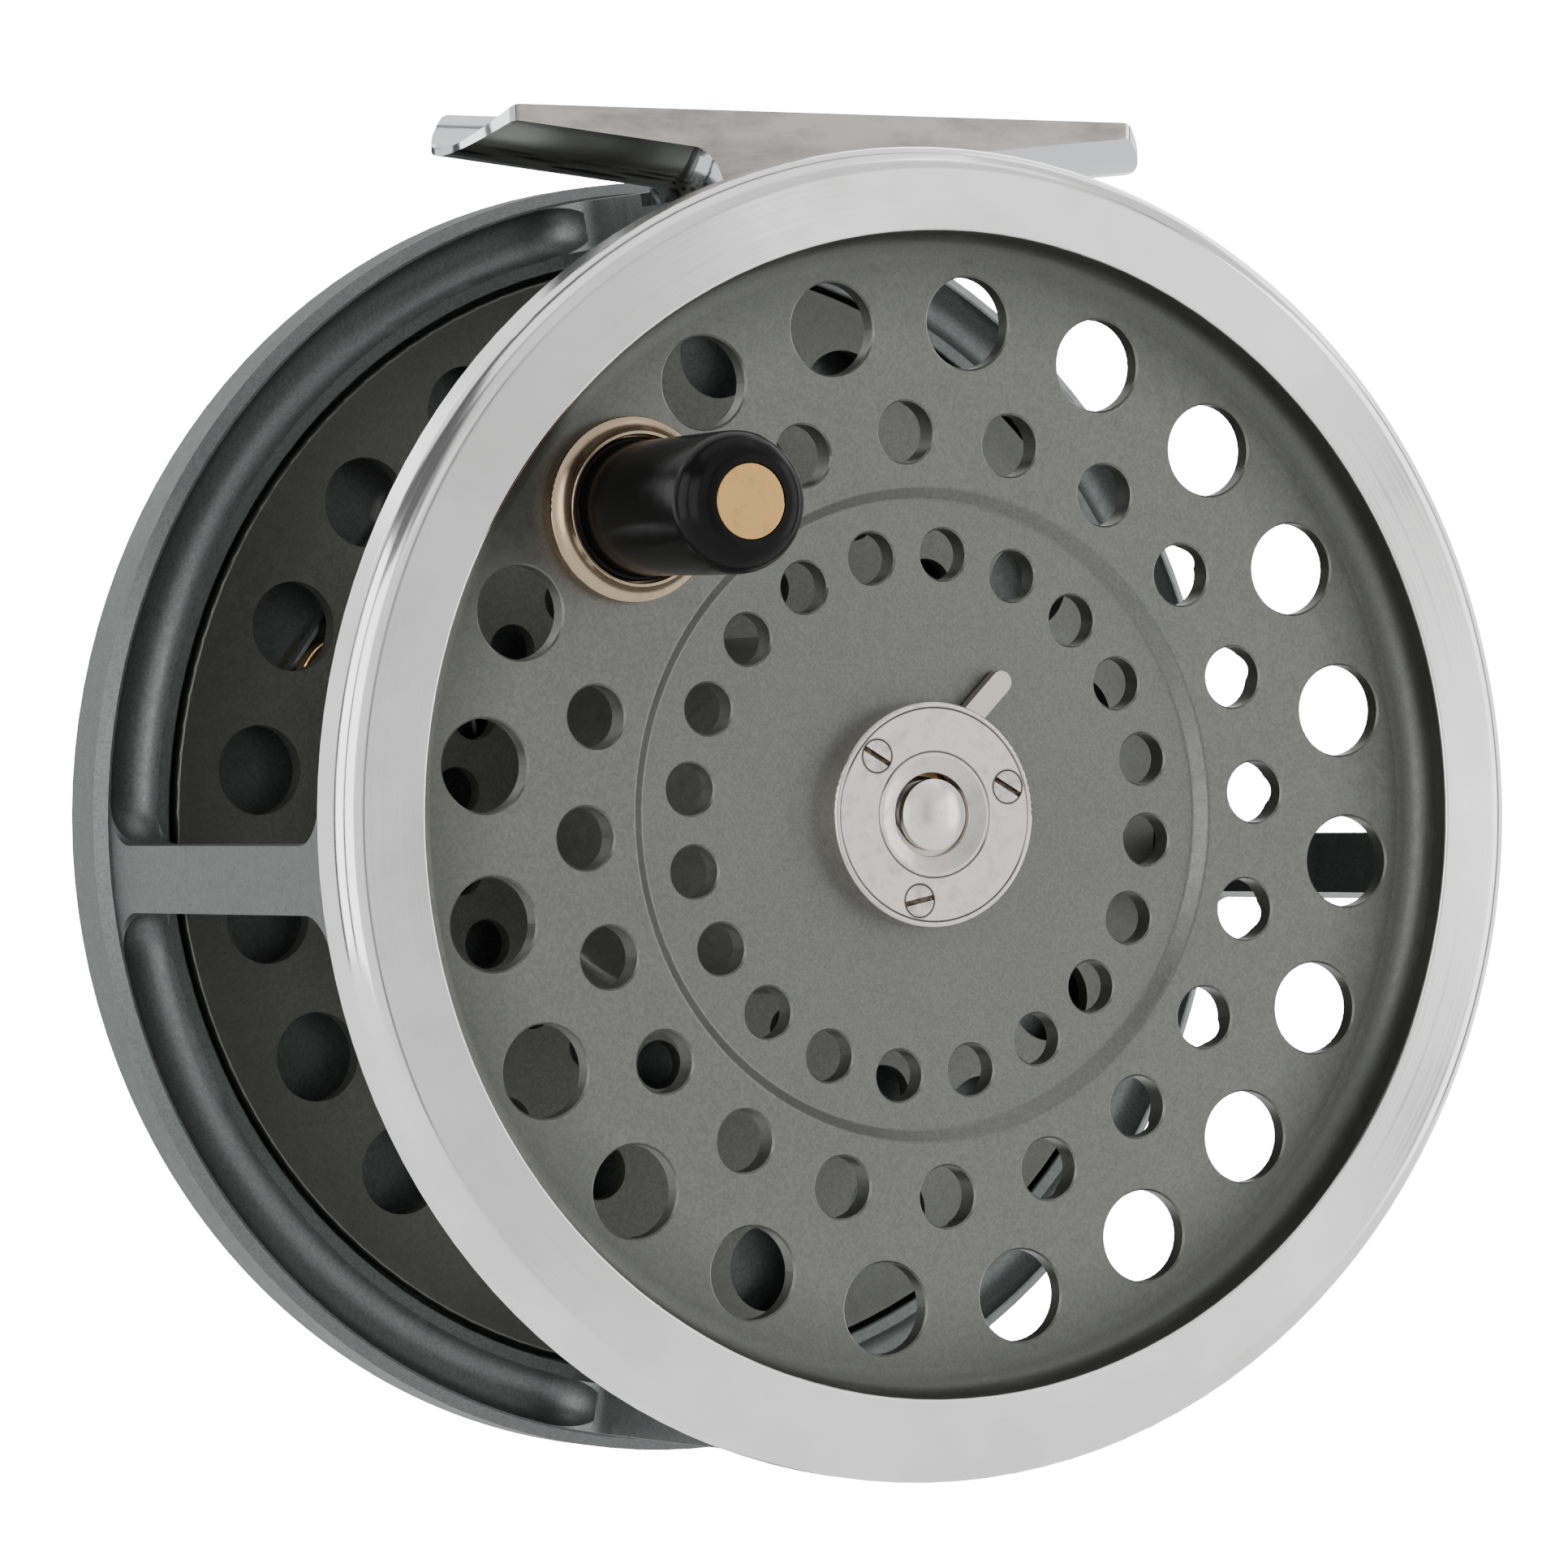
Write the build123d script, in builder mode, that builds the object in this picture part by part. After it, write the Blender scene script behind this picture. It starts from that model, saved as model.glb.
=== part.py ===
from build123d import *

import os
from math import asin, atan2, cos, degrees, hypot, radians, sin, sqrt

# Fly reel. Millimetres. The origin is on the rod's axis, over the middle of the foot.
# +X runs along the rod, +Z is up, and the front of the reel, with its handle, faces -Y.
# Most sizes are a depth behind the spool's front plate and a radius from the spool's axis.

# Foot: a saddle for the rod, two tapered arms and a pedestal
SEAT_R = 7.8
FOOT_WIDTH = 12.7
FOOT_HALF = 28.0
FOOT_TIP = 3.3
FOOT_CORNER = 1.5
FOOT_ROOT = 3.0
FOOT_MID = 21.8
HORN_HEIGHT = 56.2
ARM_R = 8.5
ARM_TIP_HEIGHT = 52.4
ARM_SLOPE = 6.0
PEDESTAL_HALF = 9.25
PEDESTAL_BASE = 49.4

HALF_WIDTH = FOOT_WIDTH / 2

# Where the spool's axis and the front plate lie in the row's frame
AXIS_Z = -(HORN_HEIGHT + sqrt(SEAT_R**2 - HALF_WIDTH**2))
FACE_Y = -FOOT_MID

# Spool: front plate with its polished rim, arbor, hub tube and rear flange
RIM_R = 52.4
RIM_INNER_R = 45.7
RIM_FRONT = -4.0
RIM_SHOULDER = -3.1
RIM_BACK = 1.4
RIM_ROUND = 2.2
RIM_RECESS = -1.3
SKIRT_IN_R = 51.65
PLATE_OUT_R = 47.0
COVE_R = 2.2
DISC_R = 25.3
DISC_FRONT = 0.9
DISC_BACK = 2.9
PLATE_BACK = 2.1
EDGE_BACK = 1.5
ARBOR_R = 14.5
ARBOR_IN_R = 13.1
WEB_BACK = 5.5
HUB_R = 7.6
BUSH_R = 4.6
FLANGE_R = 45.55
FLANGE_FRONT = 41.9
FLANGE_BACK = 43.4
HOLE_STEP = 18
HOLE_START = 12
OUTER_RING = (38.9, 3.64)
MIDDLE_RING = (30.1, 2.44)
INNER_RING = (20.6, 2.03)
REAR_RING_R = 38.4
HOLE_BREAK = 0.15

# Handle, on the spoke of the missing outer hole
HANDLE_R = 35.5
HANDLE_ANGLE = 138
HANDLE_END = -20.6
HANDLE_PIN_R = 2.0
RIVET_R = 2.9
WASHER_R = 7.2
WASHER_EDGE = -1.37
WASHER_LIP = -2.7
WELL_R = 5.72
WELL_FLOOR = -0.6
KNOB_BASE_R = 5.2
KNOB_END_R = 5.45
KNOB_SHOULDER = -17.0
KNOB_ROUND = 2.4

# Cage: rear ring, back plate, pads, pillars and front ring, all one piece
CAGE_R = 51.3
CAGE_IN_R = 47.3
RING_R = 52.4
RING_IN_R = 46.07
RING_FRONT = 42.1
RING_BEVEL = 0.9
CAGE_FRONT = -0.9
WINDOW_FRONT = 3.3
WINDOW_ROUND = 3.6
COVE_DEPTH = 1.5
BACK_IN = 46.0
BACK_OUT = 48.0
PAD_HALF = 10.4
PILLAR_DROP = 5.2
PILLAR_HALF = 3.0
PAD_RECESS = (13.4, 30.2)
LIP_R = 47.15
FOOT_SCREW_X = 5.0
FOOT_SCREW_SHANK = 1.25
FOOT_SCREW_TOP = 51.8
FOOT_HEAD_R = 2.3
FOOT_HEAD_Z = 48.0

# Spindle, cap and latch
SPINDLE_R = 3.0
NECK_R = 2.0
TIP_R = 2.8
TIP_FRONT = -2.1
TIP_SIDE = -1.2
BASE_R = 5.5
BASE_FRONT = 45.1
SPIGOT_R = 2.5
SPINDLE_SCREW_SHANK = 1.25
SPINDLE_SCREW_END = 38.0
SPINDLE_HEAD_R = 3.6
NECK_FRONT = -0.45
NECK_BACK = 0.75
CAP_R = 8.9
CAP_FRONT = -1.3
CAP_UNDER = -0.45
CAP_IN_R = 8.3
CAP_HOLE_R = 3.3
CAP_SCREW_R = 6.9
CAP_SCREW_ANGLES = (18, 138, 258)
CAP_SLOT_TILTS = (-30, -30, 12)
CAP_HEAD_R = 1.27
CAP_SCREW_SHANK = 0.65
CAP_SCREW_END = 4.6
HUB_FRONT = 0.75
BUSH_FRONT = 1.2
LATCH_FRONT = -0.35
LATCH_BACK = 0.65
LATCH_HOLE_R = 3.1
LATCH_LIFT = 0.8
LATCH_RING_R = 5.1
TAB_ANGLE = 45
TAB_WIDTH = 1.8
TAB_ROOT = (1.9, 5.65)
TAB_LENGTH = 6.7
TAB_NOTCH = (54.5, 78)
LATCH_BOSS_R = 1.25
LATCH_BOW_R = 2.8
LATCH_BOW_PLACE = 7.13

# Check: gear on the spool, pawls, springs and regulator on the back plate
GEAR_R = 9.0
GEAR_ROOT_R = 7.6
GEAR_TEETH = 24
GEAR_BACK = 45.0
GEAR_SCREW_R = 6.1
GEAR_START = 4.5
GEAR_BORE_R = 3.6
GEAR_HEAD_R = 1.3
GEAR_SCREW_SHANK = 0.7
GEAR_SCREW_END = 39.0
PAWL_R = 13.2
PAWL_ANGLE = 12
PAWL_FRONT = 44.1
PAWL_BACK = 45.1
PAWL_HEEL = 2.4
POST_R = 1.1
RUN = 0.05
ANCHOR = (23.1, 24.8)
ANCHOR_R = 1.5
SPRING_FRONT = 44.2
SPRING_BACK = 45.2
SPRING_THICK = 0.35
LEG_IN = 32.0
LEG_OUT = 20.0
ANCHOR_HEAD = 43.65
ANCHOR_THREAD_R = 0.9
CLIP_FRONT = 43.8
CLIP_BACK = 44.05
CLIP_NECK_R = 0.8
POST_SPIGOT_R = 0.8
CAM_CENTRE = (-29.1, 10.6)
CAM_R = 4.4
CAM_OFFSET = 0.5
CAM_LIFT = 5.05
CAM_TURN = 144.3
CAM_FRONT = 44.2
CAM_BACK = 45.6
KNOB_R = 5.0
KNOB_BACK = 51.0
KNOB_GRIPS = 20
SHAFT_R = 1.5
CAM_SCREW_SHANK = 0.7
CAM_SCREW_END = 48.0
CAM_HEAD_R = 1.9

FORWARD = (0, -1, 0)
SPOOL_AXIS = Axis((0, FACE_Y, AXIS_Z), FORWARD)


def polar(radius, angle):
    """A point in the reel's round view, angles anticlockwise from +X as seen from the front."""
    return (radius * cos(radians(angle)), radius * sin(radians(angle)))


def facing(depth):
    """A plane square to the spool's axis, facing the front, at a depth."""
    return Plane(origin=(0, FACE_Y + depth, AXIS_Z), x_dir=(1, 0, 0), z_dir=FORWARD)


def section(angle, x=0.0, z=0.0):
    """A plane through an axis parallel to the spool's: local x is depth, local y is radius."""
    normal = (sin(radians(angle)), 0, -cos(radians(angle)))
    return Plane(origin=(x, FACE_Y, AXIS_Z + z), x_dir=(0, 1, 0), z_dir=normal)


def profile(points, x=0.0, z=0.0, angle=90):
    """A closed (depth, radius) outline; each point may carry a rounding radius."""
    with BuildSketch(section(angle, x, z)) as face:
        with BuildLine():
            Polyline(*[point[:2] for point in points], close=True)
        make_face()
        for depth, radius, rounding in [point for point in points if len(point) == 3]:
            corner = face.vertices().sort_by_distance((depth, radius, 0))[0]
            fillet(corner, rounding)
    return face.sketch


def turn(points, x=0.0, z=0.0, mode=Mode.ADD):
    """Revolve a (depth, radius) outline about an axis parallel to the spool's."""
    revolve(profile(points, x, z), Axis((x, FACE_Y, AXIS_Z + z), FORWARD), mode=mode)


def sweep_arc(points, start, end, mode=Mode.ADD):
    """Revolve a (depth, radius) outline from one angle to another about the spool's axis."""
    face = profile(points, angle=start)
    revolve(face, SPOOL_AXIS, revolution_arc=end - start, mode=mode)


def cove_section(angle):
    """The hollow cut into the rear ring behind a window, as a slice at an angle."""
    with BuildSketch(section(angle)) as hollow:
        with BuildLine():
            edge = RING_FRONT - 0.01
            ThreePointArc((edge, LIP_R), (RING_FRONT + COVE_DEPTH, (LIP_R + CAGE_R) / 2), (edge, CAGE_R))
            Line((edge, CAGE_R), (edge, LIP_R))
        make_face()
    return hollow.sketch


def corner_axis(angle, side):
    """The line outwards from the spool's axis that a hollow turns about as it runs out at a pillar."""
    outwards = (side * cos(radians(angle)), 0, side * sin(radians(angle)))
    return Axis((0, FACE_Y + RING_FRONT + COVE_DEPTH - WINDOW_ROUND, AXIS_Z), outwards)


def pins(places, radius, front, back, mode=Mode.ADD):
    """Plain round pins, or holes, between two depths."""
    with BuildSketch(facing(back)) as discs:
        with Locations(*places):
            Circle(radius)
    extrude(discs.sketch, amount=back - front, mode=mode)


def ring_places(radius, start, skipped=()):
    """Hole centres every step around the spool, without the skipped angles."""
    angles = [start + HOLE_STEP * k for k in range(360 // HOLE_STEP)]
    return [polar(radius, angle) for angle in angles if angle not in skipped]


def finish(solid, name):
    """Label a finished piece and write it."""
    solid.part.label = name
    export_step(solid.part, f"parts/{name}.step")


os.makedirs("parts", exist_ok=True)

# Spool ------------------------------------------------------------------------------------------

HANDLE_PLACE = polar(HANDLE_R, HANDLE_ANGLE)
CAP_SCREW_PLACES = [polar(CAP_SCREW_R, angle) for angle in CAP_SCREW_ANGLES]
GEAR_SCREW_PLACES = [polar(GEAR_SCREW_R, PAWL_ANGLE + 120 * k) for k in range(3)]

with BuildPart() as spool:
    turn(
        [
            (HUB_FRONT, BUSH_R),
            (HUB_FRONT, CAP_IN_R - 0.1),
            (DISC_FRONT, CAP_IN_R - 0.1),
            (DISC_FRONT, DISC_R - 0.5, 0.4),
            (0, DISC_R + 0.5, 0.4),
            (0, RIM_INNER_R - 0.1, COVE_R),
            (RIM_FRONT, RIM_INNER_R, 0.2),
            (RIM_SHOULDER, RIM_R, RIM_ROUND),
            (RIM_BACK, RIM_R, 0.3),
            (RIM_BACK, SKIRT_IN_R),
            (RIM_RECESS, SKIRT_IN_R),
            (RIM_RECESS, PLATE_OUT_R, 0.4),
            (EDGE_BACK, PLATE_OUT_R, 0.3),
            (EDGE_BACK, 32.55),
            (PLATE_BACK, 32.3),
            (PLATE_BACK, DISC_R + 1),
            (DISC_BACK, DISC_R),
            (DISC_BACK, ARBOR_R, 0.8),
            (FLANGE_FRONT, ARBOR_R, 0.8),
            (FLANGE_FRONT, FLANGE_R, 0.2),
            (FLANGE_BACK, FLANGE_R, 0.2),
            (FLANGE_BACK, ARBOR_IN_R),
            (WEB_BACK, ARBOR_IN_R, 1.0),
            (WEB_BACK, HUB_R, 1.0),
            (FLANGE_BACK, HUB_R),
            (FLANGE_BACK, BUSH_R),
        ]
    )
    front_outer = ring_places(OUTER_RING[0], HOLE_START, [HANDLE_ANGLE])
    front_middle = ring_places(MIDDLE_RING[0], HOLE_START - HOLE_STEP / 2, [129, 147])
    pins(front_outer, OUTER_RING[1], -1, 5, Mode.SUBTRACT)
    pins(front_middle, MIDDLE_RING[1], -1, 5, Mode.SUBTRACT)
    pins(ring_places(REAR_RING_R, HOLE_START), OUTER_RING[1], 40, 45, Mode.SUBTRACT)
    pins(ring_places(MIDDLE_RING[0], HOLE_START - HOLE_STEP / 2), MIDDLE_RING[1], 40, 45, Mode.SUBTRACT)
    for front, back in [(-1, 5), (40, 45)]:
        pins(ring_places(INNER_RING[0], HOLE_START), INNER_RING[1], front, back, Mode.SUBTRACT)
    front_edges = spool.edges().filter_by(GeomType.CIRCLE).filter_by(
        lambda edge: edge.radius < 4 and edge.arc_center.Y - FACE_Y < DISC_FRONT + 0.01
    )
    chamfer(front_edges, HOLE_BREAK)
    pins([HANDLE_PLACE], HANDLE_PIN_R, -1, 5, Mode.SUBTRACT)
    pins(CAP_SCREW_PLACES, CAP_SCREW_SHANK, 0, CAP_SCREW_END, Mode.SUBTRACT)
    pins(GEAR_SCREW_PLACES, GEAR_SCREW_SHANK, GEAR_SCREW_END, FLANGE_BACK, Mode.SUBTRACT)
finish(spool, "spool")

with BuildPart() as spool_bush:
    turn(
        [
            (BUSH_FRONT, SPINDLE_R + RUN),
            (BUSH_FRONT, BUSH_R),
            (FLANGE_BACK, BUSH_R),
            (FLANGE_BACK, SPINDLE_R + RUN),
        ]
    )
finish(spool_bush, "spool_bush")

# Handle: a dished washer on the plate, a riveted pin and the knob that turns on it ---------------

HX, HZ = HANDLE_PLACE

with BuildPart() as handle_washer:
    turn(
        [
            (0, HANDLE_PIN_R),
            (WELL_FLOOR, HANDLE_PIN_R),
            (WELL_FLOOR, WELL_R),
            (WASHER_LIP, WELL_R, 0.1),
            (WASHER_LIP, WELL_R + 0.3, 0.1),
            (WASHER_LIP + 0.95, WELL_R + 0.6, 1.3),
            (WASHER_EDGE, WASHER_R, 0.15),
            (0, WASHER_R),
        ],
        HX,
        HZ,
    )
finish(handle_washer, "handle_washer")

with BuildPart() as handle_spindle:
    turn(
        [
            (HANDLE_END, 0),
            (HANDLE_END, RIVET_R, 0.1),
            (HANDLE_END + 1.2, RIVET_R),
            (HANDLE_END + 1.2, HANDLE_PIN_R),
            (EDGE_BACK, HANDLE_PIN_R),
            (EDGE_BACK, HANDLE_PIN_R + 0.9),
            (EDGE_BACK + 0.8, HANDLE_PIN_R + 0.7, 0.3),
            (EDGE_BACK + 0.8, 0),
        ],
        HX,
        HZ,
    )
finish(handle_spindle, "handle_spindle")

with BuildPart() as handle_knob:
    turn(
        [
            (WELL_FLOOR - 0.1, HANDLE_PIN_R + RUN),
            (WELL_FLOOR - 0.1, WELL_R - 0.15, 0.2),
            (WASHER_LIP + 0.5, WELL_R - 0.15, 0.15),
            (WASHER_LIP + 0.4, KNOB_BASE_R, 0.1),
            (KNOB_SHOULDER, KNOB_END_R),
            (HANDLE_END, KNOB_END_R, KNOB_ROUND),
            (HANDLE_END, RIVET_R + RUN),
            (HANDLE_END + 1.25, RIVET_R + RUN),
            (HANDLE_END + 1.25, HANDLE_PIN_R + RUN),
        ],
        HX,
        HZ,
    )
finish(handle_knob, "handle_knob")

# Hub cap, its screws and the latch under it ------------------------------------------------------

with BuildPart() as hub_cap:
    turn(
        [
            (CAP_UNDER, CAP_HOLE_R),
            (CAP_FRONT + 0.45, CAP_HOLE_R, 0.1),
            (CAP_FRONT, CAP_HOLE_R + 1.3, 0.2),
            (CAP_FRONT, 4.85),
            (CAP_FRONT + 0.08, 4.95),
            (CAP_FRONT, 5.05),
            (CAP_FRONT, 8.32),
            (CAP_FRONT + 0.08, 8.4),
            (CAP_FRONT, 8.48),
            (CAP_FRONT, CAP_R, 0.25),
            (DISC_FRONT, CAP_R),
            (DISC_FRONT, CAP_IN_R),
            (CAP_UNDER, CAP_IN_R),
        ]
    )
    notch = [
        (CAP_UNDER, CAP_IN_R - 0.5),
        (CAP_UNDER, CAP_R + 1),
        (DISC_FRONT, CAP_R + 1),
        (DISC_FRONT, CAP_IN_R - 0.5),
    ]
    sweep_arc(notch, TAB_NOTCH[0], TAB_NOTCH[1], Mode.SUBTRACT)
    for x, z in CAP_SCREW_PLACES:
        turn(
            [
                (CAP_FRONT, 0),
                (CAP_FRONT, CAP_HEAD_R),
                (CAP_FRONT + 0.2, CAP_HEAD_R),
                (CAP_UNDER, CAP_SCREW_SHANK),
                (CAP_UNDER, 0),
            ],
            x,
            z,
            Mode.SUBTRACT,
        )
finish(hub_cap, "hub_cap")

with BuildPart() as cap_screws:
    for x, z in CAP_SCREW_PLACES:
        turn(
            [
                (CAP_FRONT, 0),
                (CAP_FRONT, CAP_HEAD_R - 0.03),
                (CAP_FRONT + 0.2, CAP_HEAD_R - 0.03),
                (CAP_UNDER, CAP_SCREW_SHANK),
                (CAP_SCREW_END, CAP_SCREW_SHANK),
                (CAP_SCREW_END, 0),
            ],
            x,
            z,
        )
    with BuildSketch(facing(CAP_FRONT + 0.35)) as slots:
        for place, tilt in zip(CAP_SCREW_PLACES, CAP_SLOT_TILTS):
            with Locations(Location(place, tilt)):
                Rectangle(3, 0.42)
    extrude(slots.sketch, amount=1, mode=Mode.SUBTRACT)
finish(cap_screws, "cap_screws")

with BuildPart() as latch_lever:
    pivot = CAP_SCREW_PLACES[0]
    ring_centre = polar(LATCH_LIFT, CAP_SCREW_ANGLES[0] + 90)
    boss_middle = ((pivot[0] + ring_centre[0]) / 2 + 1, (pivot[1] + ring_centre[1]) / 2)
    with BuildSketch(facing(LATCH_BACK)):
        with Locations(ring_centre):
            Circle(LATCH_RING_R)
        with Locations(pivot):
            Circle(LATCH_BOSS_R)
        with Locations(Location(boss_middle, CAP_SCREW_ANGLES[0])):
            Rectangle(5, 2 * LATCH_BOSS_R)
        with Locations(Location(TAB_ROOT, TAB_ANGLE)):
            Rectangle(TAB_LENGTH, TAB_WIDTH, align=(Align.MIN, Align.CENTER))
            with Locations((TAB_LENGTH, 0)):
                Circle(TAB_WIDTH / 2)
        with Locations(ring_centre):
            Circle(LATCH_HOLE_R, mode=Mode.SUBTRACT)
        with Locations(pivot):
            Circle(CAP_SCREW_SHANK + RUN, mode=Mode.SUBTRACT)
    extrude(amount=LATCH_BACK - LATCH_FRONT)
finish(latch_lever, "latch_lever")

with BuildPart() as latch_spring:
    with BuildSketch(facing(LATCH_BACK)):
        with Locations(polar(LATCH_BOW_PLACE, CAP_SCREW_ANGLES[0] - 90)):
            Circle(LATCH_BOW_R)
            Circle(LATCH_BOW_R - 0.3, mode=Mode.SUBTRACT)
        Circle(CAP_IN_R - 0.02, mode=Mode.INTERSECT)
    extrude(amount=0.9)
finish(latch_spring, "latch_spring")

# Click gear on the back of the hub ---------------------------------------------------------------

with BuildPart() as click_gear:
    teeth = []
    for k in range(GEAR_TEETH):
        teeth.append(polar(GEAR_R, GEAR_START + k * 360 / GEAR_TEETH))
        teeth.append(polar(GEAR_ROOT_R, GEAR_START + (k + 0.5) * 360 / GEAR_TEETH))
    with BuildSketch(facing(GEAR_BACK)):
        with BuildLine():
            Polyline(*teeth, close=True)
        make_face()
        Circle(GEAR_BORE_R, mode=Mode.SUBTRACT)
    extrude(amount=GEAR_BACK - FLANGE_BACK)
    for x, z in GEAR_SCREW_PLACES:
        turn(
            [
                (FLANGE_BACK, 0),
                (FLANGE_BACK, GEAR_SCREW_SHANK),
                (GEAR_BACK - 0.8, GEAR_SCREW_SHANK),
                (GEAR_BACK - 0.2, GEAR_HEAD_R),
                (GEAR_BACK, GEAR_HEAD_R),
                (GEAR_BACK, 0),
            ],
            x,
            z,
            Mode.SUBTRACT,
        )
finish(click_gear, "click_gear")

with BuildPart() as gear_screws:
    for x, z in GEAR_SCREW_PLACES:
        turn(
            [
                (GEAR_SCREW_END, 0),
                (GEAR_SCREW_END, GEAR_SCREW_SHANK),
                (GEAR_BACK - 0.8, GEAR_SCREW_SHANK),
                (GEAR_BACK - 0.2, GEAR_HEAD_R - 0.03),
                (GEAR_BACK, GEAR_HEAD_R - 0.03),
                (GEAR_BACK, 0),
            ],
            x,
            z,
        )
    with BuildSketch(facing(GEAR_BACK + 0.5)) as slots:
        with Locations(*GEAR_SCREW_PLACES):
            Rectangle(3, 0.35)
    extrude(slots.sketch, amount=0.9, mode=Mode.SUBTRACT)
finish(gear_screws, "gear_screws")

# Frame -------------------------------------------------------------------------------------------

ANCHOR_PLACES = [(-ANCHOR[0], ANCHOR[1]), ANCHOR]
POST_PLACES = [polar(PAWL_R, 180 + PAWL_ANGLE), polar(PAWL_R, -PAWL_ANGLE)]
SHAFT_OFFSET = polar(CAM_OFFSET, CAM_TURN)
SHAFT_PLACE = (CAM_CENTRE[0] + SHAFT_OFFSET[0], CAM_CENTRE[1] + SHAFT_OFFSET[1])
FOOT_SCREW_SPOTS = [(-FOOT_SCREW_X, 0), (FOOT_SCREW_X, 0)]
FLARE = degrees(asin(WINDOW_ROUND / ((LIP_R + CAGE_R) / 2)))
WINDOWS = [
    (90 + PAD_HALF, 180 + PILLAR_DROP - PILLAR_HALF),
    (180 + PILLAR_DROP + PILLAR_HALF, 270 - PAD_HALF),
    (270 + PAD_HALF, 360 - PILLAR_DROP - PILLAR_HALF),
    (PILLAR_HALF - PILLAR_DROP, 90 - PAD_HALF),
]

with BuildPart() as window_cuts:
    wall = [
        (WINDOW_FRONT, CAGE_IN_R - 1),
        (WINDOW_FRONT, RING_R),
        (RING_FRONT, RING_R),
        (RING_FRONT, CAGE_IN_R - 1),
    ]
    for start, end in WINDOWS:
        sweep_arc(wall, start, end)
    straight = window_cuts.edges().filter_by(GeomType.LINE)
    fillet(straight.filter_by(lambda edge: abs(edge.tangent_at(0).Y) < 0.01), WINDOW_ROUND)
    for start, end in WINDOWS:
        first = cove_section(start + FLARE)
        last = cove_section(end - FLARE)
        revolve(first, SPOOL_AXIS, revolution_arc=end - start - 2 * FLARE)
        revolve(first, corner_axis(start + FLARE, -1), revolution_arc=90)
        revolve(last, corner_axis(end - FLARE, 1), revolution_arc=90)

with BuildPart() as frame:
    turn(
        [
            (CAGE_FRONT, CAGE_IN_R, 0.3),
            (CAGE_FRONT, CAGE_R, 0.3),
            (RING_FRONT, CAGE_R),
            (RING_FRONT, CAGE_R + 0.2),
            (RING_FRONT + RING_BEVEL, RING_R),
            (BACK_OUT, RING_R, 1.0),
            (BACK_OUT, 0),
            (BACK_IN, 0),
            (BACK_IN, RING_IN_R, 0.5),
            (RING_FRONT, RING_IN_R, 0.2),
            (RING_FRONT, CAGE_IN_R),
        ]
    )
    add(window_cuts.part, mode=Mode.SUBTRACT)
    with BuildSketch(Plane.XY.offset(AXIS_Z + PEDESTAL_BASE)) as recess:
        with Locations((0, FACE_Y + (PAD_RECESS[0] + PAD_RECESS[1]) / 2)):
            Rectangle(30, PAD_RECESS[1] - PAD_RECESS[0])
    extrude(recess.sketch, amount=5, mode=Mode.SUBTRACT)
    with BuildSketch(Plane.XY.offset(AXIS_Z + 44)) as screw_holes:
        with Locations(*FOOT_SCREW_SPOTS):
            Circle(FOOT_SCREW_SHANK)
    extrude(screw_holes.sketch, amount=8, mode=Mode.SUBTRACT)
    with BuildSketch(Plane.XY.offset(AXIS_Z + 44)) as head_holes:
        with Locations(*FOOT_SCREW_SPOTS):
            Circle(FOOT_HEAD_R)
    extrude(head_holes.sketch, amount=FOOT_HEAD_Z - 44, mode=Mode.SUBTRACT)
    pins([(0, 0)], SPIGOT_R, BACK_IN, BACK_OUT, Mode.SUBTRACT)
    pins(POST_PLACES, POST_SPIGOT_R, BACK_IN, BACK_IN + 1.5, Mode.SUBTRACT)
    pins(ANCHOR_PLACES, ANCHOR_THREAD_R, BACK_IN, BACK_IN + 1.5, Mode.SUBTRACT)
    pins([SHAFT_PLACE], SHAFT_R + RUN, BACK_IN, BACK_OUT, Mode.SUBTRACT)
finish(frame, "frame")

# Foot: a rounded plan, hollowed to the rod, over two sloping round-bottomed arms ------------------

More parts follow.
